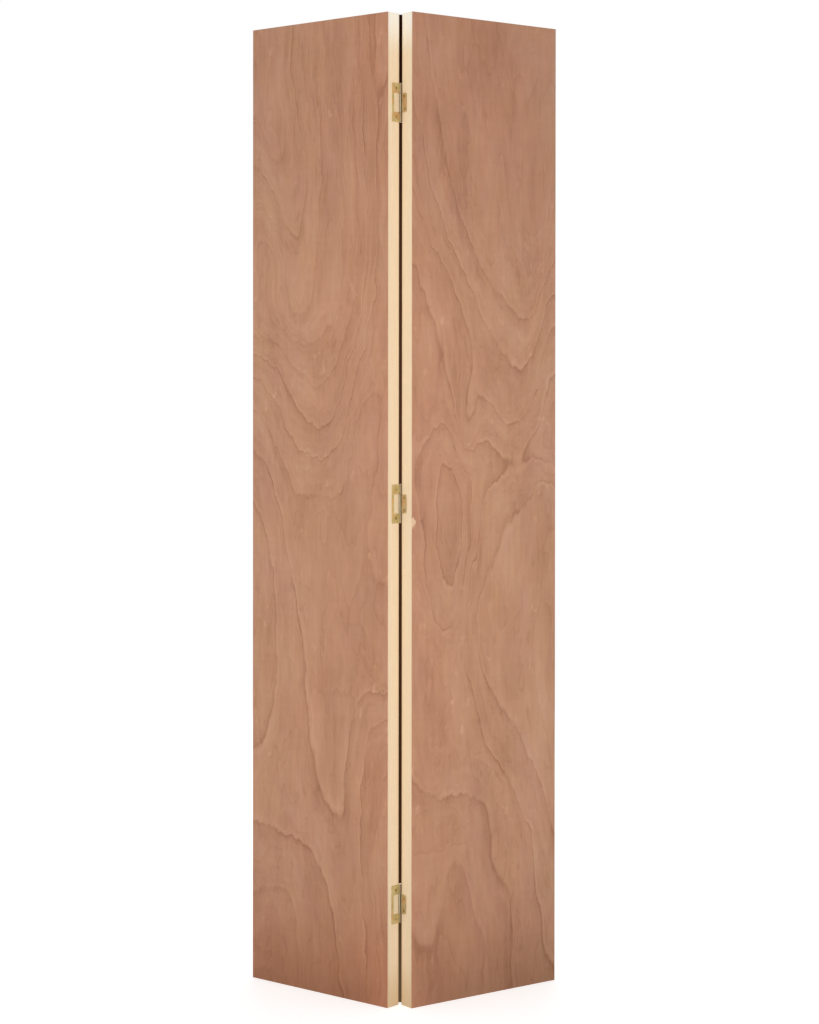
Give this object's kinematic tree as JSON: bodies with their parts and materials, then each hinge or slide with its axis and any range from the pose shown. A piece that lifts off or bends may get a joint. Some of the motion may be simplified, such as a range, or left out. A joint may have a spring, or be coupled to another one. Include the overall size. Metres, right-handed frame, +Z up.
{
  "type": "bifold closet door",
  "caption": "Flush wooden bifold closet door, half folded: two hollow-core panels with veneered skins and pale pine edges, joined by brass interleaf hinges.",
  "frame": {"origin": "middle of the standing door's footprint, at the panels' bottom ends", "axes": "+Z up along the hinge pins, +X from the pivot panel to the lead panel; the fold and the front faces point to -Y"},
  "size_m": [0.6394, 0.257, 2.0066],
  "materials": {
    "lauan_veneer": "unfinished, sanded",
    "pine": "planed",
    "kraft_board": "matt",
    "hinge_brass": "dull brass plate",
    "screw_brass": "dull brass plate",
    "fastener_steel": "bright"
  },
  "bodies": {
    "pivot_panel": {"bottom_hinge_frame_plate": "hinge_brass", "bottom_hinge_frame_screw_lower": "screw_brass", "bottom_hinge_frame_screw_upper": "screw_brass", "bottom_hinge_pin": "hinge_brass", "middle_hinge_frame_plate": "hinge_brass", "middle_hinge_frame_screw_lower": "screw_brass", "middle_hinge_frame_screw_upper": "screw_brass", "middle_hinge_pin": "hinge_brass", "pivot_panel_back_skin": "lauan_veneer", "pivot_panel_bottom_rail": "pine", "pivot_panel_core": "kraft_board", "pivot_panel_fastener_bottom_inner": "fastener_steel", "pivot_panel_fastener_bottom_outer": "fastener_steel", "pivot_panel_fastener_top_inner": "fastener_steel", "pivot_panel_fastener_top_outer": "fastener_steel", "pivot_panel_front_skin": "lauan_veneer", "pivot_panel_hinge_stile": "pine", "pivot_panel_knob_block": "pine", "pivot_panel_outer_stile": "pine", "pivot_panel_top_rail": "pine", "top_hinge_frame_plate": "hinge_brass", "top_hinge_frame_screw_lower": "screw_brass", "top_hinge_frame_screw_upper": "screw_brass", "top_hinge_pin": "hinge_brass"},
    "lead_panel": {"bottom_hinge_insert_plate": "hinge_brass", "bottom_hinge_insert_screw_lower": "screw_brass", "bottom_hinge_insert_screw_upper": "screw_brass", "lead_panel_back_skin": "lauan_veneer", "lead_panel_bottom_rail": "pine", "lead_panel_core": "kraft_board", "lead_panel_fastener_bottom_inner": "fastener_steel", "lead_panel_fastener_bottom_outer": "fastener_steel", "lead_panel_fastener_top_inner": "fastener_steel", "lead_panel_fastener_top_outer": "fastener_steel", "lead_panel_front_skin": "lauan_veneer", "lead_panel_hinge_stile": "pine", "lead_panel_knob_block": "pine", "lead_panel_outer_stile": "pine", "lead_panel_top_rail": "pine", "middle_hinge_insert_plate": "hinge_brass", "middle_hinge_insert_screw_lower": "screw_brass", "middle_hinge_insert_screw_upper": "screw_brass", "top_hinge_insert_plate": "hinge_brass", "top_hinge_insert_screw_lower": "screw_brass", "top_hinge_insert_screw_upper": "screw_brass"}
  },
  "joints": [
    {"name": "fold", "type": "hinge", "parent": "pivot_panel", "child": "lead_panel", "pos_m": [0, -0.09936, 0], "axis": [0, 0, 1], "range_deg": [-75.8, 104.2]}
  ]
}
